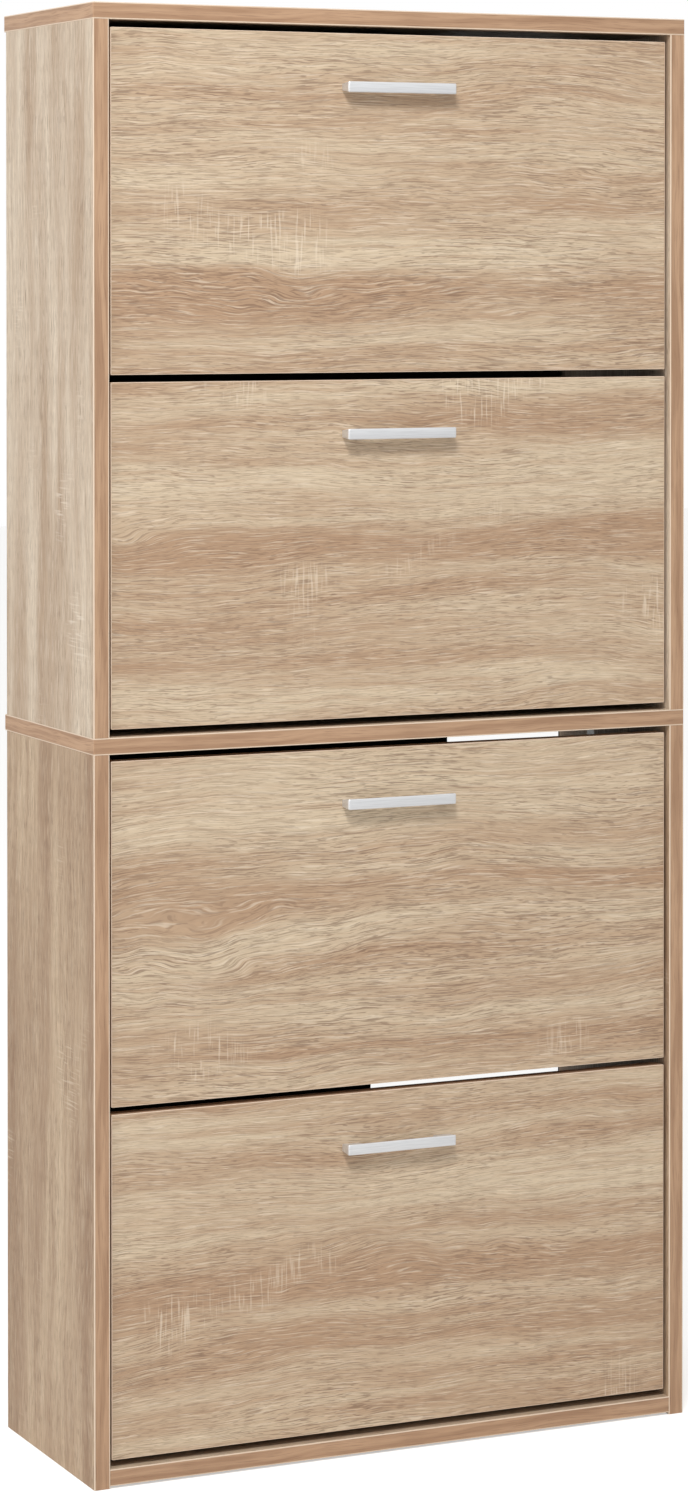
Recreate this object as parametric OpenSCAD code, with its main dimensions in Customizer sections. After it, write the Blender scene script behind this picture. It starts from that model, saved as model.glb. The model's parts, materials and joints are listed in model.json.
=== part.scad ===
// Tall shoe cabinet with four tip-out compartments, in two carcass units.
// X runs across the cabinet, +Y points to the wall and +Z is up.
// The origin is on the floor, under the middle of the cabinet's overall box.

/* [Carcass] */
// Outer width of the cabinet
cabinet_w = 634; // [540:1:760]
// Depth of the side panels
side_depth = 236; // [196:1:300]
// How far the top and middle panels reach past the sides at the rear
cap_overhang = 5; // [4:0.5:12]
// Thickness of every carcass board and flap
board_t = 16; // [15:0.5:19]
// Height of the bottom panel's underside above the floor
bottom_lift = 2; // [0.5:0.5:60]
// Thickness of the edge bands
band_t = 0.8; // [0.4:0.1:2]
// Thickness of the back panels
back_t = 3; // [2.5:0.5:4]
// How far the back panels stay inside the cabinet's outer faces
back_inset = 2; // [0.5:0.5:6]

/* [Air slots in the back panels] */
// Height of each slot
slot_h = 36; // [20:1:60]
// Length of the slot at the top of each back panel
top_slot_l = 132; // [60:1:200]
// Length of the slot half-way down each back panel
mid_slot_l = 220; // [60:1:240]
// Distance of the upper slot's middle below the top of its unit's bay
top_slot_drop = 32; // [25:1:100]
// Distance of the lower slot's middle below the middle of its unit's bay
mid_slot_drop = 49; // [30:1:100]

/* [Flaps] */
// Height of one flap
flap_h = 327; // [310:1:400]
// Gap above, between and below the flaps
flap_gap = 7; // [5:0.5:12]
// Gap between a flap and the side panels
flap_side_gap = 3.5; // [2.5:0.5:6]
// How far the flaps sit behind the front edges
flap_recess = 5; // [0:0.5:10]

/* [Handles] */
// Length of a handle
handle_l = 116; // [110:1:200]
// Height of a handle's front face
handle_h = 10.5; // [9:0.5:16]
// Height of a handle where it meets the flap
handle_root_h = 7; // [7:0.5:10]
// How far a handle stands out from the flap
handle_out = 15; // [13:0.5:25]
// Thickness of the handle's bar in front of the fingers
handle_bar_t = 5.5; // [4:0.5:6]
// Distance between the two screws of a handle
handle_pitch = 96; // [96:1:160]
// Length of the gap for the fingers
handle_grip_l = 80; // [70:1:84]
// Distance of a handle's middle below the flap's top edge
handle_drop = 52; // [40:1:120]
// Radius of a handle screw's shank
handle_screw_r = 2; // [1.75:0.25:2.5]

/* [Tip-out movement] */
// How far a pivot lies behind its flap's rear face
pivot_behind = 8; // [7:0.5:12]
// Clearance between a flap's turning bottom edge and what lies below it
corner_clear = 1.54; // [0.5:0.02:3]
// Angle at which a flap meets its stop pins
open_angle = 50; // [30:1:55]
// Radius of the pivot pins
pivot_r = 4; // [3:0.5:5]
// Running clearance round a pivot pin
pivot_clear = 0.05; // [0.02:0.01:0.1]
// Radius of the stop pins
stop_r = 3; // [2:0.5:4]
// Distance of a stop pin from its pivot
stop_reach = 62; // [50:1:70]
// Direction from the pivot to its stop pin, above horizontal
stop_bearing = 75; // [65:1:85]

/* [Trays behind the flaps] */
// Thickness of the bracket plates
plate_t = 3; // [2:0.5:4]
// Gap between a bracket plate and the side panel
plate_gap = 2; // [1:0.5:3]
// Thickness of the boards in a tray
tray_board_t = 8; // [6:0.5:10]
// How much deeper the front shoe pocket is than the rear one
pocket_step = 10; // [0:1:20]
// Clearance between a turning tray and the back panel
tray_back_clear = 8.5; // [4:0.5:20]
// Clearance between a turning tray and the flap or panel above it
tray_top_clear = 13; // [8:0.5:40]
// How far the tray floor's top lies below the pivot
floor_drop = 17; // [14:1:18]
// How far the bracket's front edge ends below the flap's top edge
plate_drop = 45; // [30:1:100]
// Thickness of the ribs that hold the tray boards
rib_t = 2.5; // [2:0.5:3]
// How far the ribs reach over the ends of the boards
rib_reach = 6; // [4:0.5:10]
// Width of the bracket's foot on the flap
foot_w = 20; // [16:1:30]

/* [Fasteners] */
// Radius of a cam lock's drum
cam_r = 7.5; // [6:0.5:7.5]
// Depth of a cam lock's drum
cam_depth = 12.5; // [10:0.5:12.5]
// Distance of a cam lock's drum from the joint
cam_back = 24; // [20:1:34]
// Radius of the wooden dowels
dowel_r = 4; // [3:0.5:4]
// Length of the wooden dowels
dowel_l = 30; // [25:1:30]
// Distance between neighbouring fasteners in a row
fastener_pitch = 16; // [12:1:16]
// Distance of the outermost fastener from the panel's edges
fastener_in = 37; // [30:1:40]
// Radius of the wall fixing holes
wall_hole_r = 3; // [2:0.5:4]
// Distance of the wall brackets from the ends of the upper air slots
wall_bracket_off = 49; // [15:1:80]

/* [Hidden] */
$fn = 48;

carcass_parts = [
    "top_panel", "middle_panel", "bottom_panel",
    "upper_left_side", "upper_right_side", "lower_left_side", "lower_right_side",
    "upper_back_panel", "lower_back_panel", "panel_edging", "side_edging",
    "cam_locks", "dowels", "pivot_pins", "stop_pins", "back_nails",
    "wall_brackets", "wall_bracket_screws"
];
flap_parts = [
    "front", "edging", "handle", "handle_screws", "left_bracket", "right_bracket",
    "bracket_screws", "tray_floor", "divider", "back_board"
];

// Carcass levels and planes
inner_w = cabinet_w - 2 * board_t;
cap_depth = side_depth + cap_overhang;
bay_h = 2 * flap_h + 3 * flap_gap;
lower_bay_z = bottom_lift + board_t;
middle_z = lower_bay_z + bay_h;
upper_bay_z = middle_z + board_t;
top_z = upper_bay_z + bay_h;
handle_proud = max(0, handle_out - flap_recess);
front_y = (handle_proud - cap_depth) / 2;
rear_y = front_y + side_depth;

// Flaps, numbered from the top
flap_w = inner_w - 2 * flap_side_gap;
flap_y = front_y + flap_recess;
pivot_back = board_t + pivot_behind;
pivot_y = flap_y + pivot_back;
// The flap's bottom front corner turns on a circle that stays corner_clear above what lies below
corner_room = flap_gap - corner_clear;
pivot_up = (pivot_back * pivot_back - corner_room * corner_room) / (2 * corner_room);
function flap_z(n) = (n <= 2 ? upper_bay_z : lower_bay_z) + flap_gap + (n % 2) * (flap_h + flap_gap);
function pivot_z(n) = flap_z(n) + pivot_up;

// Tray places, measured from the pivot
flap_rear = -pivot_behind;
plate_x = inner_w / 2 - plate_gap;
plate_in_x = plate_x - plate_t;
floor_z = -floor_drop - tray_board_t;
tray_low = floor_z - rib_t;
// The tray's lower rear corner clears the back panel, and its upper one what lies above
tray_rear_r = side_depth - flap_recess - pivot_back - tray_back_clear;
tray_rear = sqrt(tray_rear_r * tray_rear_r - tray_low * tray_low);
tray_top_r = flap_h - pivot_up - tray_top_clear;
plate_rear_top = sqrt(tray_top_r * tray_top_r - tray_rear * tray_rear);
plate_front_top = flap_h - pivot_up - plate_drop;
back_board_top = plate_rear_top - 4;
divider_top = back_board_top - 2;
back_board_y = tray_rear - rib_t - tray_board_t;
pockets = back_board_y - tray_board_t - flap_rear;
divider_y = flap_rear + (pockets + pocket_step) / 2;
tray_board_l = 2 * plate_in_x - 1;
boss_r = pivot_r + 3;
boss_l = 8;
stop_play = 0.5;
stop_end_play = 0.2;
foot_t = 3;
foot_z = -floor_drop + rib_t + 1;
foot_top = plate_front_top - 4;
foot_screw_in = 8;
foot_screw_low = 10;
foot_screw_top = foot_top - 13;
foot_screw_step = (foot_screw_top - foot_screw_low) / 3;
pin_depth = 10;

// Fasteners
cam_rod_r = 3.5;
cam_thread_r = 2.5;
cam_thread_l = 11;
dowel_in_panel = 11;
nail_r = 0.7;
nail_l = 16;
nail_head_r = 2;
nail_head_t = 0.8;
small_screw_r = 1.75;
small_head_r = 3.5;
small_head_t = 2;
foot_screw_l = 13;
wall_screw_l = 12;
handle_screw_in = 9;
handle_screw_clear = 0.25;
handle_head_r = 4;
handle_head_t = 2.5;
wall_bracket_w = 20;
wall_bracket_leg = 30;
wall_bracket_t = 2;
wall_hole_drop = 18;
wall_bracket_x = inner_w / 2 - top_slot_l - wall_bracket_off;

upper_cams = fastener_in;
upper_dowels = fastener_in + fastener_pitch;
lower_cams = fastener_in + 2 * fastener_pitch;
lower_dowels = fastener_in + 3 * fastener_pitch;

wood = "burlywood";
edge = "tan";
dark = "dimgray";
steel = "silver";

// ---- Helpers ----

// A box from its lowest corner to its highest corner
module box(low, high) {
    translate(low) cube(high - low);
}

// Extrudes a shape drawn in Y and Z along +X
module along_x(x, length) {
    translate([x, 0, 0]) rotate([90, 0, 90]) linear_extrude(length) children();
}

// A round rod along +Y
module rod_y(r, length) {
    rotate([-90, 0, 0]) cylinder(r = r, h = length);
}

// A round rod along +X
module rod_x(r, length) {
    rotate([0, 90, 0]) cylinder(r = r, h = length);
}

// The same shape at the right and at the left
module both_sides() {
    for (side = [0, 1]) mirror([side, 0, 0]) children();
}

// A shape at the same distance from the front and from the rear of the sides
module front_and_rear(inset) {
    for (y = [front_y + inset, rear_y - inset]) translate([0, y, 0]) children();
}

// A shape at the pivot of flap n
module at_pivot(n) {
    translate([0, pivot_y, pivot_z(n)]) children();
}

// ---- Fasteners of the carcass ----

// Drum, rod and thread of a cam lock: the drum lies along +X, the rod points along +Z
module cam_lock() {
    translate([0, 0, -cam_back]) rod_x(cam_r, cam_depth);
    translate([board_t / 2, 0, -cam_back]) cylinder(r = cam_rod_r, h = cam_back);
    translate([board_t / 2, 0, 0]) cylinder(r = cam_thread_r, h = cam_thread_l);
}

// Dowel across a joint, reaching along +Z into the panel
module dowel() {
    translate([board_t / 2, 0, dowel_in_panel - dowel_l]) cylinder(r = dowel_r, h = dowel_l);
}

// Fasteners up into the top panel
module top_joint() {
    both_sides() translate([inner_w / 2, 0, top_z]) {
        if ($children > 0) front_and_rear(upper_cams) children(0);
        if ($children > 1) front_and_rear(upper_dowels) children(1);
    }
}

// Fasteners into the middle panel from above and from below
module middle_joint() {
    both_sides() translate([inner_w / 2, 0, 0]) {
        translate([0, 0, upper_bay_z]) mirror([0, 0, 1]) {
            front_and_rear(upper_cams) children(0);
            front_and_rear(upper_dowels) children(1);
        }
        translate([0, 0, middle_z]) {
            front_and_rear(lower_cams) children(0);
            front_and_rear(lower_dowels) children(1);
        }
    }
}

// Fasteners from the bottom panel into the lower sides
module bottom_joint() {
    both_sides() translate([inner_w / 2, 0, bottom_lift]) mirror([0, 0, 1]) rotate([0, 90, 0]) {
        front_and_rear(upper_cams) children(0);
        front_and_rear(upper_dowels) children(1);
    }
}

// Every cam lock and dowel, for the fasteners and for the holes that take them
module carcass_joints() {
    top_joint() { cam_lock(); dowel(); }
    middle_joint() { cam_lock(); dowel(); }
    bottom_joint() { cam_lock(); dowel(); }
}

module cam_locks() {
    color(steel) {
        top_joint() { cam_lock(); union() {} }
        middle_joint() { cam_lock(); union() {} }
        bottom_joint() { cam_lock(); union() {} }
    }
}

module dowels() {
    color(wood) {
        top_joint() { union() {} dowel(); }
        middle_joint() { union() {} dowel(); }
        bottom_joint() { union() {} dowel(); }
    }
}

// ---- Carcass panels ----

// A panel that covers the ends of the sides, inside its edge bands
module cap_panel(z) {
    color(wood) difference() {
        box([-cabinet_w / 2 + band_t, front_y + band_t, z],
            [cabinet_w / 2 - band_t, front_y + cap_depth, z + board_t]);
        carcass_joints();
    }
}

module bottom_panel() {
    color(wood) difference() {
        box([-inner_w / 2, front_y + band_t, bottom_lift], [inner_w / 2, rear_y, lower_bay_z]);
        carcass_joints();
    }
}

// Front, left and right edge bands of a panel that covers the sides
module cap_bands(z) {
    box([-cabinet_w / 2, front_y, z], [cabinet_w / 2, front_y + band_t, z + board_t]);
    both_sides() box([cabinet_w / 2 - band_t, front_y + band_t, z],
                     [cabinet_w / 2, front_y + cap_depth, z + board_t]);
}

module panel_edging() {
    color(edge) {
        cap_bands(top_z);
        cap_bands(middle_z);
        box([-inner_w / 2, front_y, bottom_lift], [inner_w / 2, front_y + band_t, lower_bay_z]);
    }
}

// Right-hand side panel between two levels, with holes for its pins
module side_panel(low, high) {
    color(wood) difference() {
        box([inner_w / 2, front_y + band_t, low], [cabinet_w / 2, rear_y, high]);
        carcass_joints();
        for (n = [1:4]) {
            pivot_pin(n);
            stop_pin(n);
        }
    }
}

module upper_side() {
    side_panel(upper_bay_z, top_z);
}

module lower_side() {
    side_panel(0, middle_z);
}

module side_edging() {
    color(edge) both_sides() for (span = [[0, middle_z], [upper_bay_z, top_z]])
        box([inner_w / 2, front_y, span[0]], [cabinet_w / 2, front_y + band_t, span[1]]);
}

// Back panel of one unit, with its two air slots
module back_panel(low, high, bay_z) {
    half_w = cabinet_w / 2 - back_inset;
    color(dark) difference() {
        box([-half_w, rear_y, low], [half_w, rear_y + back_t, high]);
        for (slot = [[top_slot_l, bay_h - top_slot_drop], [mid_slot_l, bay_h / 2 - mid_slot_drop]])
            box([inner_w / 2 - slot[0], rear_y - 1, bay_z + slot[1] - slot_h / 2],
                [inner_w / 2, rear_y + back_t + 1, bay_z + slot[1] + slot_h / 2]);
        wall_holes();
    }
}

module upper_back_panel() {
    back_panel(upper_bay_z, top_z, upper_bay_z);
}

module lower_back_panel() {
    back_panel(bottom_lift, middle_z, lower_bay_z);
}

module back_nail() {
    translate([0, back_t, 0]) rod_y(nail_head_r, nail_head_t);
    translate([0, -nail_l, 0]) rod_y(nail_r, nail_l + back_t);
}

module back_nails() {
    nails = 6;
    first = 60;
    step = (bay_h - 2 * first) / (nails - 1);
    color(steel) {
        both_sides() for (bay_z = [lower_bay_z, upper_bay_z]) for (i = [0:nails - 1])
            translate([cabinet_w / 2 - board_t / 2, rear_y, bay_z + first + i * step]) back_nail();
        both_sides() for (x = [inner_w / 8, inner_w * 3 / 8])
            translate([x, rear_y, bottom_lift + board_t / 2]) back_nail();
    }
}

// ---- Wall fixing ----

module wall_holes() {
    both_sides() translate([wall_bracket_x, rear_y - 5, top_z - wall_hole_drop])
        rod_y(wall_hole_r, 5 + back_t + 1);
}

module wall_brackets() {
    color(steel) difference() {
        both_sides() translate([wall_bracket_x - wall_bracket_w / 2, rear_y, top_z]) {
            box([0, -wall_bracket_leg, -wall_bracket_t], [wall_bracket_w, 0, 0]);
            box([0, -wall_bracket_t, -wall_bracket_leg], [wall_bracket_w, 0, 0]);
        }
        wall_holes();
        wall_bracket_screws();
    }
}

// One screw up through each wall bracket into the top panel
module wall_bracket_screws() {
    color(steel) both_sides()
        translate([wall_bracket_x, rear_y - wall_bracket_leg + 10, top_z - wall_bracket_t]) {
            translate([0, 0, -small_head_t]) cylinder(r = small_head_r, h = small_head_t);
            cylinder(r = small_screw_r, h = wall_screw_l);
        }
}

// ---- Pins in the side panels ----

module pivot_pin(n) {
    at_pivot(n) translate([plate_x - boss_l, 0, 0])
        rod_x(pivot_r, boss_l + plate_gap + pin_depth);
}

module stop_pin(n) {
    at_pivot(n) rotate([stop_bearing, 0, 0]) translate([plate_in_x, stop_reach, 0])
        rod_x(stop_r, plate_t + plate_gap + pin_depth);
}

module pivot_pins() {
    color(steel) both_sides() for (n = [1:4]) pivot_pin(n);
}

module stop_pins() {
    color(steel) both_sides() for (n = [1:4]) stop_pin(n);
}

// ---- Flap board ----

module flap_front(n) {
    color(wood) translate([0, flap_y, flap_z(n)]) difference() {
        box([-flap_w / 2 + band_t, 0, band_t], [flap_w / 2 - band_t, board_t, flap_h - band_t]);
        both_sides() translate([handle_pitch / 2, -1, flap_h - handle_drop])
            rod_y(handle_screw_r + handle_screw_clear, board_t + 2);
    }
}

module flap_edging(n) {
    color(edge) translate([0, flap_y, flap_z(n)]) difference() {
        box([-flap_w / 2, 0, 0], [flap_w / 2, board_t, flap_h]);
        box([-flap_w / 2 + band_t, -1, band_t],
            [flap_w / 2 - band_t, board_t + 1, flap_h - band_t]);
    }
}

module handle_screw() {
    translate([0, board_t, 0]) rod_y(handle_head_r, handle_head_t);
    translate([0, -handle_screw_in, 0]) rod_y(handle_screw_r, board_t + handle_screw_in);
}

module at_handle(n) {
    translate([0, flap_y, flap_z(n) + flap_h - handle_drop]) children();
}

// Tapered bar on two legs, with room for the fingers behind it
module flap_handle(n) {
    color(steel) at_handle(n) difference() {
        along_x(-handle_l / 2, handle_l) polygon([
            [0, -handle_root_h / 2], [0, handle_root_h / 2],
            [-handle_out, handle_h / 2], [-handle_out, -handle_h / 2]
        ]);
        box([-handle_grip_l / 2, -handle_out + handle_bar_t, -handle_h],
            [handle_grip_l / 2, 1, handle_h]);
        both_sides() translate([handle_pitch / 2, 0, 0]) handle_screw();
    }
}

module flap_handle_screws(n) {
    color(steel) at_handle(n) both_sides() translate([handle_pitch / 2, 0, 0]) handle_screw();
}

// ---- Tray ----

// Arc slot for the stop pin, drawn in Y and Z
module stop_slot() {
    half_w = stop_r + stop_play;
    pin_span = asin((stop_r + stop_end_play) / stop_reach);
    low = stop_bearing - open_angle - pin_span;
    high = stop_bearing + pin_span;
    far = 2 * stop_reach;
    intersection() {
        difference() {
            circle(r = stop_reach + half_w, $fn = 96);
            circle(r = stop_reach - half_w, $fn = 96);
        }
        polygon([[0, 0], far * [cos(low), sin(low)], far * [cos(high), sin(high)]]);
    }
}

// Outline of a bracket plate, drawn in Y and Z
module plate_outline() {
    polygon([
        [flap_rear, tray_low], [tray_rear, tray_low],
        [tray_rear, plate_rear_top], [flap_rear, plate_front_top]
    ]);
}

// Rectangle from its lowest corner to its highest corner
module rectangle(low, high) {
    translate(low) square(high - low);
}

// Ribs in front of and behind an upright board, drawn in Y and Z
module upright_ribs(y, top) {
    for (rib_y = [y - rib_t, y + tray_board_t])
        rectangle([rib_y, -floor_drop], [rib_y + rib_t, top]);
}

// Ribs below and above the tray floor, and round both upright boards
module tray_ribs() {
    rib_top = -floor_drop + rib_t;
    rectangle([flap_rear, tray_low], [back_board_y, floor_z]);
    rectangle([flap_rear + foot_t, -floor_drop], [divider_y - rib_t, rib_top]);
    rectangle([divider_y + tray_board_t + rib_t, -floor_drop], [back_board_y - rib_t, rib_top]);
    upright_ribs(divider_y, divider_top);
    upright_ribs(back_board_y, back_board_top);
}

// Right-hand bracket: plate, ribs, pivot boss and the foot that is screwed to the flap
module bracket_right(n) {
    color(dark) at_pivot(n) difference() {
        union() {
            along_x(plate_in_x, plate_t) difference() {
                plate_outline();
                stop_slot();
            }
            along_x(plate_in_x - rib_reach, rib_reach) tray_ribs();
            translate([plate_x - boss_l, 0, 0]) rod_x(boss_r, boss_l);
            box([plate_in_x - foot_w, flap_rear, foot_z],
                [plate_in_x, flap_rear + foot_t, foot_top]);
        }
        translate([plate_x - boss_l - 1, 0, 0]) rod_x(pivot_r + pivot_clear, boss_l + 2);
        foot_screw_set();
    }
}

module bracket_left(n) {
    mirror([1, 0, 0]) bracket_right(n);
}

// The four screws in the right-hand foot, measured from the pivot
module foot_screw_set() {
    screw_x = plate_in_x - foot_w + foot_screw_in;
    for (i = [0:3])
        translate([screw_x, flap_rear + foot_t, foot_screw_low + i * foot_screw_step]) {
            rod_y(small_head_r, small_head_t);
            translate([0, -foot_screw_l, 0]) rod_y(small_screw_r, foot_screw_l);
        }
}

module bracket_screws(n) {
    color(steel) both_sides() at_pivot(n) foot_screw_set();
}

// The tray's boards, measured from the pivot
module floor_board() {
    box([-tray_board_l / 2, flap_rear, floor_z],
        [tray_board_l / 2, back_board_y + tray_board_t, -floor_drop]);
}

module upright_board(y, top) {
    box([-tray_board_l / 2, y, -floor_drop], [tray_board_l / 2, y + tray_board_t, top]);
}

module tray_floor(n) {
    color(wood) at_pivot(n) floor_board();
}

module divider(n) {
    color(wood) at_pivot(n) upright_board(divider_y, divider_top);
}

module back_board(n) {
    color(wood) at_pivot(n) upright_board(back_board_y, back_board_top);
}

// ---- What is drawn ----

cap_panel(top_z);  // top_panel
cap_panel(middle_z);  // middle_panel
bottom_panel();
mirror([1, 0, 0]) upper_side();  // upper_left_side
upper_side();  // upper_right_side
mirror([1, 0, 0]) lower_side();  // lower_left_side
lower_side();  // lower_right_side
upper_back_panel();
lower_back_panel();
panel_edging();
side_edging();
cam_locks();
dowels();
pivot_pins();
stop_pins();
back_nails();
wall_brackets();
wall_bracket_screws();

for (n = [1:4]) {
    flap_front(n);
    flap_edging(n);
    flap_handle(n);
    flap_handle_screws(n);
    bracket_left(n);
    bracket_right(n);
    bracket_screws(n);
    tray_floor(n);
    divider(n);
    back_board(n);
}
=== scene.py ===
import json
import math
import bpy
import numpy as np
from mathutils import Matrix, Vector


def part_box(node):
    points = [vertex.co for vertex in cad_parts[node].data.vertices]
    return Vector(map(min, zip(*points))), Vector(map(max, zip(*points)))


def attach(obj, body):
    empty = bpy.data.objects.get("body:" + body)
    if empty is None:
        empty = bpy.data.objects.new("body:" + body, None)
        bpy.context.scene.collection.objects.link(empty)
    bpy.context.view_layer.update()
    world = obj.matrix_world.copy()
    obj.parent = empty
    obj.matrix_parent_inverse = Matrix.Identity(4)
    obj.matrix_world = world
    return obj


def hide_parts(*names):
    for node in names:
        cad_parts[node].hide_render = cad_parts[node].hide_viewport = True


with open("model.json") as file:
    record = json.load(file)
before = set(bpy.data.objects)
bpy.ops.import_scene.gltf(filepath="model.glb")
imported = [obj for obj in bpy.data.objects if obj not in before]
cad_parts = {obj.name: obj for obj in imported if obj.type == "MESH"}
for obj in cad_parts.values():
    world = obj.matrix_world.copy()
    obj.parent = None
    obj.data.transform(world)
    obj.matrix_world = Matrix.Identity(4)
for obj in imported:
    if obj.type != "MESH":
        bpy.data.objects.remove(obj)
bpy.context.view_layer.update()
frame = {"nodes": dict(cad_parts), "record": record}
scene = bpy.context.scene
scene.view_settings.view_transform = "Standard"


def nodeBox(name):
    low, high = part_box(name)
    return np.array(low), np.array(high)


def linear(red, green, blue):
    values = np.array([red, green, blue]) / 255
    return (*np.where(values <= 0.04045, values / 12.92, ((values + 0.055) / 1.055) ** 2.4), 1.0)


# Adds shader nodes to one tree and links or sets their inputs.
class shaderGraph:
    def __init__(self, tree):
        self.tree = tree
        self.column = 0

    def add(self, kind, inputs=None, **settings):
        node = self.tree.nodes.new(kind)
        self.column += 1
        node.location = (200 * (self.column % 12), -260 * (self.column // 12))
        for key, value in settings.items():
            setattr(node, key, value)
        for key, value in (inputs or {}).items():
            self.feed(node.inputs[key], value)
        return node

    def feed(self, socket, value):
        if isinstance(value, bpy.types.NodeSocket):
            self.tree.links.new(value, socket)
        else:
            socket.default_value = value

    def calc(self, operation, first, second=0.0, third=0.0):
        node = self.add("ShaderNodeMath", operation=operation)
        for socket, value in zip(node.inputs, (first, second, third)):
            self.feed(socket, value)
        return node.outputs[0]

    def spread(self, value, low, high, outLow=0.0, outHigh=1.0):
        return self.add("ShaderNodeMapRange", {
            "Value": value, "From Min": low, "From Max": high, "To Min": outLow, "To Max": outHigh,
        }, interpolation_type="SMOOTHSTEP").outputs[0]

    def noise(self, vector, detail=2.0, rough=0.5):
        return self.add("ShaderNodeTexNoise", {
            "Vector": vector, "Scale": 1.0, "Detail": detail, "Roughness": rough,
        }).outputs["Fac"]

    def point(self, x, y, z=0.0):
        return self.add("ShaderNodeCombineXYZ", {0: x, 1: y, 2: z}).outputs[0]

    def mix(self, share, first, second, blend="MIX"):
        node = self.add("ShaderNodeMix", data_type="RGBA", blend_type=blend)
        self.feed(node.inputs[0], share)
        self.feed(node.inputs[6], first)
        self.feed(node.inputs[7], second)
        return node.outputs[2]


def newGroup(name, inputs, outputs):
    tree = bpy.data.node_groups.new(name, "ShaderNodeTree")
    kinds = {"color": "NodeSocketColor", "value": "NodeSocketFloat", "vector": "NodeSocketVector"}
    for label, kind, default in inputs:
        socket = tree.interface.new_socket(label, in_out="INPUT", socket_type=kinds[kind])
        socket.default_value = default
    for label, kind in outputs:
        tree.interface.new_socket(label, in_out="OUTPUT", socket_type=kinds[kind])
    graph = shaderGraph(tree)
    return graph, graph.add("NodeGroupInput").outputs, graph.add("NodeGroupOutput").inputs


def newMaterial(name):
    material = bpy.data.materials.new(name)
    material.use_nodes = True
    material.node_tree.nodes.clear()
    graph = shaderGraph(material.node_tree)
    shader = graph.add("ShaderNodeBsdfPrincipled")
    graph.add("ShaderNodeOutputMaterial", {"Surface": shader.outputs[0]})
    return material, graph, shader


def useGroup(graph, group, inputs):
    node = graph.add("ShaderNodeGroup", node_tree=group)
    for key, value in inputs.items():
        graph.feed(node.inputs[key], value)
    return node.outputs


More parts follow.
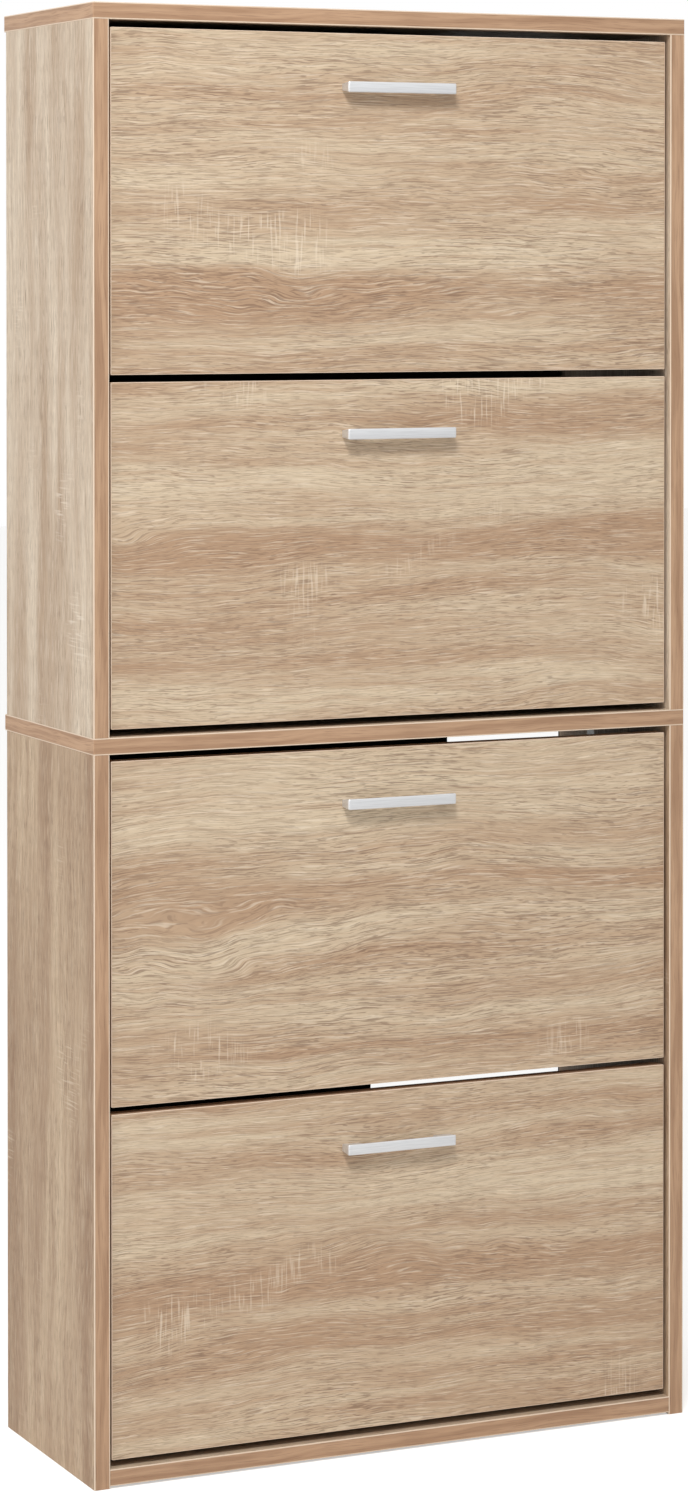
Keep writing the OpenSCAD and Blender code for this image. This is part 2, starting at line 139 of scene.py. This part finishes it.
# Oak print: the coordinate across the grain is pushed about by slow noise and by one bell-shaped
# swirl, and bands, streaks, fibres and pores are noises stretched along the grain. Two bell-shaped
# bands make the print browner or paler. Saw marks are short lines across the grain in patches.
def buildOakPrint():
    graph, given, result = newGroup("oakPrint", [
        ("Along", "value", 0.0), ("Across", "value", 0.0), ("Seed", "value", 0.0),
        ("Light", "color", linear(222, 203, 178)), ("Brown", "color", linear(176, 146, 118)),
        ("Pore", "color", linear(120, 92, 72)), ("Streak", "color", linear(236, 222, 200)),
        ("Band Size", "value", 0.03), ("Wave", "value", 0.02), ("Pore Amount", "value", 0.5),
        ("Saw Marks", "value", 0.5), ("Swirl", "vector", (0, 0, 0)), ("Swirl Size", "vector", (0.1, 0.1, 1)),
        ("Brown Band", "vector", (0, 0.03, 0)), ("Pale Band", "vector", (0, 0.03, 0)),
    ], [("Color", "color"), ("Height", "value"), ("Roughness", "value")])
    along, across, seed = given["Along"], given["Across"], given["Seed"]
    calc, noise, point = graph.calc, graph.noise, graph.point

    def parts(socket):
        return graph.add("ShaderNodeSeparateXYZ", {0: socket}).outputs

    def bell(*offsets):
        total = 0.0
        for value, centre, width in offsets:
            share = calc("DIVIDE", calc("SUBTRACT", value, centre), width)
            total = calc("ADD", total, calc("MULTIPLY", share, share))
        return calc("EXPONENT", calc("MULTIPLY", total, -1.0))

    def stretched(alongScale, acrossValue, acrossScale, layer, detail=2.0):
        return noise(point(calc("MULTIPLY", along, alongScale), calc("MULTIPLY", acrossValue, acrossScale),
                           calc("ADD", seed, layer)), detail)

    swirl, swirlSize = parts(given["Swirl"]), parts(given["Swirl Size"])
    uneven = graph.spread(stretched(14.0, across, 24.0, 31.0, 1.0), 0.3, 0.7, 0.7, 1.2)
    turned = calc("MULTIPLY", calc("MULTIPLY", uneven, swirl[2]),
                  bell((along, swirl[0], swirlSize[0]), (across, swirl[1], swirlSize[1])))
    slow = calc("SUBTRACT", stretched(3.0, across, 6.0, 0.1, 1.0), 0.5)
    quick = calc("SUBTRACT", stretched(11.0, across, 34.0, 3.3, 2.0), 0.5)
    wave = calc("MULTIPLY_ADD", slow, given["Wave"], calc("MULTIPLY", quick, 0.006))
    flow = calc("ADD", calc("ADD", across, turned), calc("MULTIPLY", wave, 2.0))

    bands = noise(point(calc("MULTIPLY", along, 2.0), calc("DIVIDE", flow, given["Band Size"]),
                        calc("ADD", seed, 5.0)), 3.0)
    for name, sign in (("Brown Band", -0.25), ("Pale Band", 0.25)):
        centre, width, amount = parts(given[name])
        change = calc("MULTIPLY", bell((flow, centre, width)), amount)
        bands = calc("ADD", bands, calc("MULTIPLY", change, sign))
    streaks = stretched(5.0, flow, 190.0, 7.7, 4.0)
    fibres = stretched(30.0, flow, 1000.0, 11.0, 2.0)
    darkDash = graph.spread(stretched(36.0, flow, 1150.0, 13.0, 1.0), 0.55, 0.65)
    finePore = graph.spread(stretched(80.0, flow, 1200.0, 15.0, 1.0), 0.58, 0.67)
    density = graph.spread(stretched(6.0, flow, 26.0, 17.0, 2.0), 0.36, 0.64, 0.5, 0.9)
    dark = calc("MULTIPLY", calc("MAXIMUM", darkDash, finePore), density)
    pores = calc("MULTIPLY", dark, given["Pore Amount"])
    lightDash = graph.spread(stretched(26.0, flow, 820.0, 19.0, 2.0), 0.54, 0.66)
    sawPlace = graph.spread(stretched(6.0, across, 9.0, 23.0, 1.0), 0.62, 0.72)
    sawLine = graph.spread(noise(point(calc("MULTIPLY", along, 430.0), calc("MULTIPLY", across, 30.0),
                                       calc("ADD", seed, 29.0)), 1.0), 0.52, 0.70)
    saw = calc("MULTIPLY", calc("MULTIPLY", sawPlace, sawLine), given["Saw Marks"])

    color = graph.mix(graph.spread(bands, 0.26, 0.72), given["Brown"], given["Light"])
    streakShare = calc("MULTIPLY", graph.spread(streaks, 0.46, 0.7), 0.45)
    color = graph.mix(streakShare, color, given["Brown"])
    color = graph.mix(calc("MULTIPLY", lightDash, 0.42), color, given["Streak"])
    tone = graph.spread(fibres, 0.3, 0.7, 0.93, 1.06)
    color = graph.mix(1.0, color, graph.point(tone, tone, tone), "MULTIPLY")
    color = graph.mix(pores, color, given["Pore"])
    color = graph.mix(calc("MULTIPLY", saw, 0.55), color, given["Streak"])
    graph.feed(result["Color"], color)
    sunk = calc("ADD", pores, calc("MULTIPLY", saw, 0.4))
    height = calc("SUBTRACT", calc("MULTIPLY", fibres, 0.5), sunk)
    graph.feed(result["Height"], height)
    rough = graph.spread(calc("ADD", fibres, pores), 0.2, 1.2, 0.52, 0.68)
    graph.feed(result["Roughness"], rough)
    return graph.tree


# Raw chipboard: flakes of a cell texture in several browns.
def buildChipboard():
    graph, given, result = newGroup("chipboard", [("Place", "vector", (0, 0, 0))], [("Color", "color")])
    cells = graph.add("ShaderNodeTexVoronoi", {"Vector": given["Place"], "Scale": 420.0}).outputs
    share = graph.add("ShaderNodeSeparateColor", {0: cells["Color"]}).outputs[0]
    color = graph.mix(share, linear(150, 116, 82), linear(206, 176, 138))
    graph.feed(result["Color"], color)
    return graph.tree


# Dust: a thin pale veil on faces that look up, broken by slow noise.
def buildDust():
    graph, given, result = newGroup("settledDust", [
        ("Color", "color", (0.5, 0.5, 0.5, 1)), ("Place", "vector", (0, 0, 0)),
        ("Facing", "vector", (0, 0, 0)), ("Amount", "value", 0.15),
    ], [("Color", "color")])
    up = graph.add("ShaderNodeSeparateXYZ", {0: given["Facing"]}).outputs[2]
    scaled = graph.add("ShaderNodeVectorMath", {0: given["Place"], "Scale": 60.0}, operation="SCALE")
    patches = graph.spread(graph.noise(scaled.outputs[0], 4.0), 0.2, 0.8)
    cover = graph.calc("MULTIPLY", graph.spread(up, 0.5, 0.95), patches)
    veil = graph.calc("MULTIPLY", cover, given["Amount"])
    color = graph.mix(veil, given["Color"], linear(205, 200, 192))
    graph.feed(result["Color"], color)
    return graph.tree


oakPrint = buildOakPrint()
chipboard = buildChipboard()
settledDust = buildDust()
print("groups ready")

oakColors = {
    "flap": {
        "Light": (210, 190, 162), "Brown": (178, 146, 117),
        "Pore": (112, 85, 66), "Streak": (234, 218, 196)},
    # painted light: the upper side boards get paler colours than the flaps, partly their own print and
    # partly the light from the left painted on the side; the lower side boards get browner colours
    "paleLitSide": {
        "Light": (222, 206, 184), "Brown": (178, 152, 126),
        "Pore": (130, 106, 86), "Streak": (234, 222, 206)},
    "brownSide": {
        "Light": (202, 178, 149), "Brown": (156, 125, 98),
        "Pore": (112, 86, 66), "Streak": (220, 202, 178)},
}
boardLook = {"Band Size": 0.03, "Wave": 0.02, "Pore Amount": 0.64, "Saw Marks": 0.9}
sideLook = {"Band Size": 0.042, "Wave": 0.012}
boardDust = 0.12
boardBump = {"Strength": 0.35, "Distance": 0.0004}


# A board's print runs along one axis; faces square to the board's plane show chipboard instead.
def boardMaterial(name, alongAxis, acrossAxis, seed, colors, features):
    material, graph, shader = newMaterial(name)
    shown = graph.add("ShaderNodeTexCoord").outputs
    place = graph.add("ShaderNodeSeparateXYZ", {0: shown["Object"]}).outputs
    facing = graph.add("ShaderNodeSeparateXYZ", {0: shown["Normal"]}).outputs
    tones = {key: linear(*value) for key, value in oakColors[colors].items()}
    printed = useGroup(graph, oakPrint, {
        "Along": place[alongAxis], "Across": place[acrossAxis], "Seed": seed,
        **tones, **boardLook, **features})
    raw = useGroup(graph, chipboard, {"Place": shown["Object"]})
    flatAxis = 3 - alongAxis - acrossAxis
    edge = graph.spread(graph.calc("ABSOLUTE", facing[flatAxis]), 0.4, 0.6)
    color = graph.mix(edge, raw["Color"], printed["Color"])
    dusty = useGroup(graph, settledDust, {
        "Color": color, "Place": shown["Object"], "Facing": shown["Normal"], "Amount": boardDust})
    graph.feed(shader.inputs["Base Color"], dusty["Color"])
    graph.feed(shader.inputs["Roughness"], printed["Roughness"])
    bump = graph.add("ShaderNodeBump", {**boardBump, "Height": printed["Height"]})
    graph.feed(shader.inputs["Normal"], bump.outputs[0])
    return material


# Edge band: fine reddish streaks along the band, and a painted highlight: a paler colour where the arris is
# rounded.
bandLook = {
    "pale": (188, 152, 121), "deep": (164, 128, 99), "streak": (136, 103, 78), "arris": (226, 206, 184)}


def bandMaterial():
    material, graph, shader = newMaterial("edgeBand")
    stored = graph.add("ShaderNodeAttribute", attribute_name="bandPlace").outputs["Vector"]
    along, across, arris = graph.add("ShaderNodeSeparateXYZ", {0: stored}).outputs
    calc = graph.calc
    tones = {key: linear(*value) for key, value in bandLook.items()}

    def stretched(alongScale, acrossValue, acrossScale, layer, detail):
        return graph.noise(graph.point(
            calc("MULTIPLY", along, alongScale), calc("MULTIPLY", acrossValue, acrossScale), layer), detail)

    warp = calc("SUBTRACT", stretched(9.0, across, 0.0, 2.0, 1.0), 0.5)
    flow = calc("MULTIPLY_ADD", warp, 0.012, across)
    broad = stretched(7.0, flow, 160.0, 4.0, 2.0)
    fine = stretched(35.0, flow, 1100.0, 6.0, 3.0)
    color = graph.mix(graph.spread(broad, 0.35, 0.65), tones["deep"], tones["pale"])
    streakShare = calc("MULTIPLY", graph.spread(fine, 0.52, 0.7), 0.6)
    color = graph.mix(streakShare, color, tones["streak"])
    # painted highlight: the rounded arris is mixed towards a pale colour
    color = graph.mix(arris, color, tones["arris"])
    graph.feed(shader.inputs["Base Color"], color)
    graph.feed(shader.inputs["Roughness"], graph.spread(fine, 0.3, 0.7, 0.42, 0.55))
    bump = graph.add("ShaderNodeBump", {"Strength": 0.2, "Distance": 0.0003, "Height": fine})
    graph.feed(shader.inputs["Normal"], bump.outputs[0])
    return material


# Plain fine-grained finishes: a base colour varied by noise of a given size, with matching bump.
def plainMaterial(name, color, other, rough, grain, metal=0.0, depth=0.0001, dust=0.0):
    material, graph, shader = newMaterial(name)
    shown = graph.add("ShaderNodeTexCoord").outputs
    scaled = graph.add("ShaderNodeVectorMath", {0: shown["Object"], 1: grain}, operation="MULTIPLY")
    fine = graph.noise(scaled.outputs[0], 3.0)
    broad = graph.noise(shown["Object"], 2.0)
    tone = graph.calc("MULTIPLY_ADD", fine, 0.7, graph.calc("MULTIPLY", broad, 0.3))
    mixed = graph.mix(graph.spread(tone, 0.35, 0.65), linear(*color), linear(*other))
    dusty = useGroup(graph, settledDust, {
        "Color": mixed, "Place": shown["Object"], "Facing": shown["Normal"], "Amount": dust})
    graph.feed(shader.inputs["Base Color"], dusty["Color"])
    graph.feed(shader.inputs["Metallic"], metal)
    graph.feed(shader.inputs["Roughness"], graph.spread(fine, 0.3, 0.7, rough, rough + 0.12))
    bump = graph.add("ShaderNodeBump", {"Strength": 0.3, "Distance": depth, "Height": fine})
    graph.feed(shader.inputs["Normal"], bump.outputs[0])
    return material


edgeBand = bandMaterial()
# Each finish: two colours, roughness, and the grain's fineness along X, Y and Z.
finishes = {
    # painted shade: the hardboard back and the tray boards get near-black colours, darker than their own
    # brown, to stand in for the shade inside the cabinet
    "back_board_dark": plainMaterial(
        "hardboardPaintedShade", (38, 30, 25), (52, 42, 35), 0.7, (900, 900, 900), dust=0.04),
    "tray_board": plainMaterial(
        "trayBoardPaintedShade", (32, 27, 24), (46, 39, 34), 0.62, (500, 500, 500), dust=0.03),
    "black_plastic": plainMaterial(
        "mouldedPlastic", (22, 22, 23), (34, 34, 35), 0.45, (1500, 1500, 1500)),
    "satin_metal": plainMaterial(
        "satinMetal", (226, 227, 229), (214, 215, 217), 0.34, (40, 1200, 1200), 0.75, 0.00005),
    "steel": plainMaterial(
        "zincPlatedSteel", (180, 182, 186), (160, 162, 160), 0.3, (800, 800, 800), 1.0, 0.00003),
    "zinc": plainMaterial(
        "castZinc", (176, 177, 176), (150, 151, 150), 0.45, (600, 600, 600), 1.0),
    "dowel_wood": plainMaterial("beech", (214, 184, 144), (192, 160, 120), 0.6, (60, 60, 900)),
}


def paint(thing, material):
    thing.data.materials.clear()
    thing.data.materials.append(material)


for entry in frame["record"]["subparts"]:
    if entry["material_slot"] in finishes:
        paint(frame["nodes"][entry["node"]], finishes[entry["material_slot"]])
    elif entry["material_slot"] == "oak_edging":
        paint(frame["nodes"][entry["node"]], edgeBand)

# Each flap's print, its places measured from the lowest corner of the board: a swirl's place along
# and across the grain, its strength and its size, then for a browner and a paler band the place
# across the grain, the width and the strength.
flapPrints = {
    "flap_1_front": {"seed": 1.3, "swirl": (0.1667, 0.0682, 0.014), "swirlSize": (0.12, 0.03),
                     "brown": (0.0682, 0.03, 0.6), "pale": (0.1132, 0.02, 0.6)},
    "flap_2_front": {"seed": 8.1, "swirl": (0.0167, 0.1712, 0.013), "swirlSize": (0.05, 0.024),
                     "brown": (0.1632, 0.035, 0.6), "pale": (0.2282, 0.03, 0.7)},
    "flap_3_front": {"seed": 15.4, "swirl": (0.0767, 0.1302, 0.020), "swirlSize": (0.11, 0.045),
                     "brown": (0.2022, 0.03, 0.5), "pale": (0.2492, 0.025, 0.7)},
    "flap_4_front": {"seed": 23.9, "swirl": (0.3167, 0.1742, -0.016), "swirlSize": (0.15, 0.05),
                     "brown": (0.1362, 0.05, 0.5), "pale": (0.2242, 0.03, 0.6)},
}
for node, own in flapPrints.items():
    lowest = nodeBox(node)[0]
    features = {
        "Swirl": (lowest[0] + own["swirl"][0], lowest[2] + own["swirl"][1], own["swirl"][2]),
        "Swirl Size": (*own["swirlSize"], 1),
        "Brown Band": (lowest[2] + own["brown"][0], *own["brown"][1:]),
        "Pale Band": (lowest[2] + own["pale"][0], *own["pale"][1:]),
    }
    paint(frame["nodes"][node], boardMaterial(node + "_print", 0, 2, own["seed"], "flap", features))

# Each carcass board: axis along the grain, axis across it, seed, colours and look.
carcassPrints = {
    # the upper sides take the paler colours that hold painted light from the left
    "upper_left_side": (2, 1, 31.0, "paleLitSide", sideLook),
    "upper_right_side": (2, 1, 37.0, "paleLitSide", sideLook),
    "lower_left_side": (2, 1, 43.0, "brownSide", sideLook),
    "lower_right_side": (2, 1, 49.0, "brownSide", sideLook),
    "top_panel": (0, 1, 55.0, "flap", {}),
    "middle_panel": (0, 1, 61.0, "flap", {}),
    "bottom_panel": (0, 1, 67.0, "flap", {}),
}
for node, values in carcassPrints.items():
    paint(frame["nodes"][node], boardMaterial(node + "_print", *values))
print("materials ready")


def gridMesh(name, points, closedRows, closedColumns, attribute=None):
    rows, columns = points.shape[:2]
    index = np.arange(rows * columns).reshape(rows, columns)
    below = np.roll(index, -1, 0) if closedRows else index[1:]
    here = index if closedRows else index[:-1]
    quads = np.stack([here, np.roll(here, -1, 1), np.roll(below, -1, 1), below], -1)
    if not closedColumns:
        quads = quads[:, :-1]
    faces = quads.reshape(-1, 4).tolist()
    if not closedRows:
        faces += [index[0][::-1].tolist(), index[-1].tolist()]
    mesh = bpy.data.meshes.new(name)
    mesh.from_pydata(points.reshape(-1, 3).tolist(), [], faces)
    if attribute is not None:
        stored = mesh.attributes.new("bandPlace", "FLOAT_VECTOR", "POINT")
        stored.data.foreach_set("vector", attribute.reshape(-1).astype(np.float32))
    return mesh


def volume(mesh):
    mesh.calc_loop_triangles()
    corners = np.empty(len(mesh.vertices) * 3)
    mesh.vertices.foreach_get("co", corners)
    triangles = np.empty(len(mesh.loop_triangles) * 3, int)
    mesh.loop_triangles.foreach_get("vertices", triangles)
    a, b, c = corners.reshape(-1, 3)[triangles.reshape(-1, 3)].transpose(1, 0, 2)
    return float((a * np.cross(b, c)).sum() / 6)


def outwards(mesh):
    if volume(mesh) < 0:
        mesh.flip_normals()
    return mesh


def place(name, meshes, material, body, slot, *replaced):
    thing = bpy.data.objects.new(name, meshes[0])
    scene.collection.objects.link(thing)
    if len(meshes) > 1:
        others = [bpy.data.objects.new(name + "_part", mesh) for mesh in meshes[1:]]
        for other in others:
            scene.collection.objects.link(other)
        with bpy.context.temp_override(active_object=thing, selected_editable_objects=[thing, *others]):
            bpy.ops.object.join()
    thing.data.polygons.foreach_set("use_smooth", np.ones(len(thing.data.polygons), bool))
    thing.data.set_sharp_from_angle(angle=math.radians(35))
    paint(thing, material)
    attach(thing, body)
    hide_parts(*replaced)
    return thing


# Edge band: a profile with two rounded outer corners is carried along a path. A point is the
# path's corner plus its outward direction times the profile's thickness plus the depth direction
# times the profile's depth. At a corner the outward direction turns in small steps.
band = {"thickness": 0.0008, "arris": 0.0005, "arrisSteps": 4, "cornerRadius": 0.0003,
        "cornerSteps": 5, "arrisWidth": 0.0008, "fadeWidth": 0.00128}


def bandProfile(depth):
    thick, radius = band["thickness"], band["arris"]
    turn = np.linspace(0, math.pi / 2, band["arrisSteps"] + 1)
    low = np.stack([thick - radius + radius * np.sin(turn), radius - radius * np.cos(turn)], 1)
    margin, fade = band["arrisWidth"], band["fadeWidth"]
    flat = np.array([[thick, d] for d in (margin, fade, depth - fade, depth - margin)])
    high = np.stack([low[::-1, 0], depth - low[::-1, 1]], 1)
    return np.concatenate([[[0.0, 0.0]], low, flat, high, [[0.0, depth]]])


# Each point also stores its place along the grain, its place across it, and 1 on the arris, where the
# painted highlight goes.
def carriedBand(name, corners, outward, depthAxis, depth, closed):
    corners, outward = np.asarray(corners, float), np.asarray(outward, float)
    depthAxis = np.asarray(depthAxis, float)
    count, radius = len(corners), band["cornerRadius"]
    places, normals = [], []
    for i in range(count):
        before, after = outward[i - 1], outward[i % len(outward)]
        if closed or 0 < i < count - 1:
            share = np.linspace(0, math.pi / 2, band["cornerSteps"] + 1)[:, None]
            turned = before * np.cos(share) + after * np.sin(share)
            centre = corners[i] - radius * (before + after)
            places.append(centre + radius * turned)
            normals.append(turned)
        else:
            normal = after if i == 0 else before
            places.append(corners[i][None])
            normals.append(normal[None])
    places, normals = np.concatenate(places), np.concatenate(normals)
    profile = bandProfile(depth)
    points = (places[:, None] + normals[:, None] * profile[None, :, :1]
              + depthAxis[None, None] * profile[None, :, 1:])
    side = np.abs(normals).argmax(1)
    alongAxis = np.array([[k for k in range(3) if k != s and not depthAxis[k]][0] for s in side])
    along = np.take_along_axis(places, alongAxis[:, None], 1)[:, 0] + 3.0 * side
    edge = np.minimum(profile[:, 1], depth - profile[:, 1])
    outer = profile[:, 0] > band["thickness"] * 0.3
    # the arris mask, which places the edge band's painted highlight
    arris = np.where(outer & (edge <= band["arrisWidth"] * 1.01), 1.0, 0.0)
    stored = np.empty(points.shape)
    stored[..., 0] = along[:, None]
    stored[..., 1] = profile[None, :, 1] + 0.1 * side[:, None]
    stored[..., 2] = arris[None]
    return outwards(gridMesh(name, points, closed, True, stored))


right, back, up = np.eye(3)
left, front, down = -right, -back, -up

for n in range(1, 5):
    low, high = nodeBox(f"flap_{n}_front")
    y = low[1]
    corners = [(low[0], y, low[2]), (high[0], y, low[2]), (high[0], y, high[2]), (low[0], y, high[2])]
    ring = carriedBand(f"flapEdge{n}", corners, [down, right, up, left], back, high[1] - y, True)
    place(f"flapEdge{n}", [ring], edgeBand, f"flap_{n}", "oak_edging", f"flap_{n}_edging")

panelBands = []
for node in ("top_panel", "middle_panel", "bottom_panel"):
    low, high = nodeBox(node)
    depth = high[2] - low[2]
    corners, directions = [tuple(low), (high[0], low[1], low[2])], [front]
    if node != "bottom_panel":
        corners = [(low[0], high[1], low[2]), *corners, (high[0], high[1], low[2])]
        directions = [left, front, right]
    panelBands.append(carriedBand(node + "Edge", corners, directions, up, depth, False))
place("panelEdge", panelBands, edgeBand, "carcass", "oak_edging", "panel_edging")

sideBands = []
for node in ("upper_left_side", "upper_right_side", "lower_left_side", "lower_right_side"):
    low, high = nodeBox(node)
    corners = [(low[0], low[1], low[2]), (low[0], low[1], high[2])]
    sideBands.append(carriedBand(node + "Edge", corners, [front], right, high[0] - low[0], False))
place("sideEdge", sideBands, edgeBand, "carcass", "oak_edging", "side_edging")
print("edge bands ready")


# Handle: its outline in plan is a bar with two legs. Rings of that outline are stacked in height,
# inset near the top and the bottom by a quarter circle, and each ring's height shrinks from the
# front face towards the flap.
handle = {"grip": 0.080, "bar": 0.0055, "rootHeight": 0.007, "edge": 0.0011, "edgeHalf": 0.005, "steps": 5,
          "corners": (0.00176, 0.00176, 0.000385, 0.000385, 0.00132, 0.00132, 0.000385, 0.000385)}


def roundedOutline(corners, radius, steps):
    corners = np.asarray(corners, float)
    before = corners - np.roll(corners, 1, 0)
    before /= np.linalg.norm(before, axis=1)[:, None]
    after = np.roll(before, -1, 0)
    bend = np.cross(before, after)
    normalBefore = np.stack([before[:, 1], -before[:, 0]], 1)
    normalAfter = np.stack([after[:, 1], -after[:, 0]], 1)
    sign = np.sign(bend)[:, None]
    centre = corners - radius[:, None] * sign * (normalBefore + normalAfter)
    share = np.linspace(0, math.pi / 2, steps + 1)[None, :, None]
    turned = normalBefore[:, None] * np.cos(share) + normalAfter[:, None] * np.sin(share)
    points = centre[:, None] + radius[:, None, None] * sign[:, None] * turned
    return points.reshape(-1, 2), turned.reshape(-1, 2)


def handleMesh(n):
    low, high = nodeBox(f"flap_{n}_handle")
    middle = (low[2] + high[2]) / 2
    grip, inner = handle["grip"] / 2, low[1] + handle["bar"]
    corners = [(low[0], low[1]), (high[0], low[1]), (high[0], high[1]), (grip, high[1]),
               (grip, inner), (-grip, inner), (-grip, high[1]), (low[0], high[1])]
    outline, normals = roundedOutline(corners, np.array(handle["corners"]), handle["steps"])
    turn = np.linspace(0, math.pi / 2, handle["steps"] + 1)
    edge, edgeHalf = handle["edge"], handle["edgeHalf"]
    sineGap, cosineGap = edge - edge * np.sin(turn), edge - edge * np.cos(turn)
    inset = np.concatenate([sineGap, cosineGap])
    rise = np.concatenate([-1 + cosineGap / edgeHalf, 1 - sineGap / edgeHalf])
    half = np.interp(outline[:, 1], [low[1], high[1]], [(high[2] - low[2]) / 2, handle["rootHeight"] / 2])
    shift = normals * np.where(outline[:, 1] < high[1], 1.0, 0.0)[:, None]
    points = np.empty((len(inset), len(outline), 3))
    points[..., :2] = outline[None] - shift[None] * inset[:, None, None]
    points[..., 2] = middle + rise[:, None] * half[None]
    return outwards(gridMesh(f"handle{n}", points, False, True))


for n in range(1, 5):
    metal = finishes["satin_metal"]
    place(f"handle{n}", [handleMesh(n)], metal, f"flap_{n}", "satin_metal", f"flap_{n}_handle")
print("handles ready")


look = {"worldLight": 0.48, "keyPower": 96.0, "keyPlace": (-1.4, -2.5, 3.6), "keySize": 0.9,
        "sidePower": 40.0, "sidePlace": (-4.0, -0.6, 1.6), "sideSize": 3.0,
        "floorWhite": (246, 245, 243), "floorGlow": 0.45, "floorSize": 14.0, "floorLevel": -0.0004,
        "lens": 97.97, "shift": -0.267, "cameraPlace": (-1.707, -3.6835, 1.141),
        "cameraTurn": (89.0, 0, -24.8)}


def setWorld():
    world = bpy.data.worlds.new("softWhite")
    scene.world = world
    world.use_nodes = True
    world.node_tree.nodes.clear()
    graph = shaderGraph(world.node_tree)
    rays = graph.add("ShaderNodeLightPath").outputs
    direct = graph.calc("MAXIMUM", graph.calc("MAXIMUM", rays["Is Camera Ray"], rays["Is Glossy Ray"]),
                        rays["Is Transmission Ray"])
    strength = graph.calc("MULTIPLY_ADD", direct, 1.0 - look["worldLight"], look["worldLight"])
    sky = graph.add("ShaderNodeBackground", {"Color": (1, 1, 1, 1), "Strength": strength})
    graph.add("ShaderNodeOutputWorld", {"Surface": sky.outputs[0]})


def addLight(name, power, place, size, target):
    light = bpy.data.lights.new(name, "AREA")
    light.energy = power
    light.size = size
    thing = bpy.data.objects.new(name, light)
    scene.collection.objects.link(thing)
    thing.location = place
    aim = np.array(target) - np.array(place)
    aim /= np.linalg.norm(aim)
    thing.rotation_euler = (math.acos(-aim[2]), 0, math.atan2(-aim[0], aim[1]))


def addFloor():
    size, level = look["floorSize"], look["floorLevel"]
    corners = [(x * size, y * size, level) for x, y in ((-1, -1), (1, -1), (1, 1), (-1, 1))]
    mesh = bpy.data.meshes.new("floor")
    mesh.from_pydata(corners, [], [(0, 1, 2, 3)])
    floor = bpy.data.objects.new("floor", mesh)
    scene.collection.objects.link(floor)
    material, graph, shader = newMaterial("paleFloor")
    graph.feed(shader.inputs["Base Color"], linear(*look["floorWhite"]))
    graph.feed(shader.inputs["Roughness"], 0.9)
    graph.feed(shader.inputs["Emission Color"], (1, 1, 1, 1))
    rays = graph.add("ShaderNodeLightPath").outputs
    glow = graph.calc("MULTIPLY", rays["Is Camera Ray"], look["floorGlow"])
    graph.feed(shader.inputs["Emission Strength"], glow)
    paint(floor, material)


def addCamera():
    camera = bpy.data.cameras.new("camera")
    camera.lens = look["lens"]
    camera.sensor_width = 36
    camera.shift_y = look["shift"]
    thing = bpy.data.objects.new("camera", camera)
    scene.collection.objects.link(thing)
    thing.location = look["cameraPlace"]
    thing.rotation_euler = [math.radians(angle) for angle in look["cameraTurn"]]
    scene.camera = thing


setWorld()
addLight("keyLight", look["keyPower"], look["keyPlace"], look["keySize"], (0, 0, 0.7))
addLight("sideLight", look["sidePower"], look["sidePlace"], look["sideSize"], (0, 0, 0.7))
addFloor()
addCamera()
print("light and camera ready")
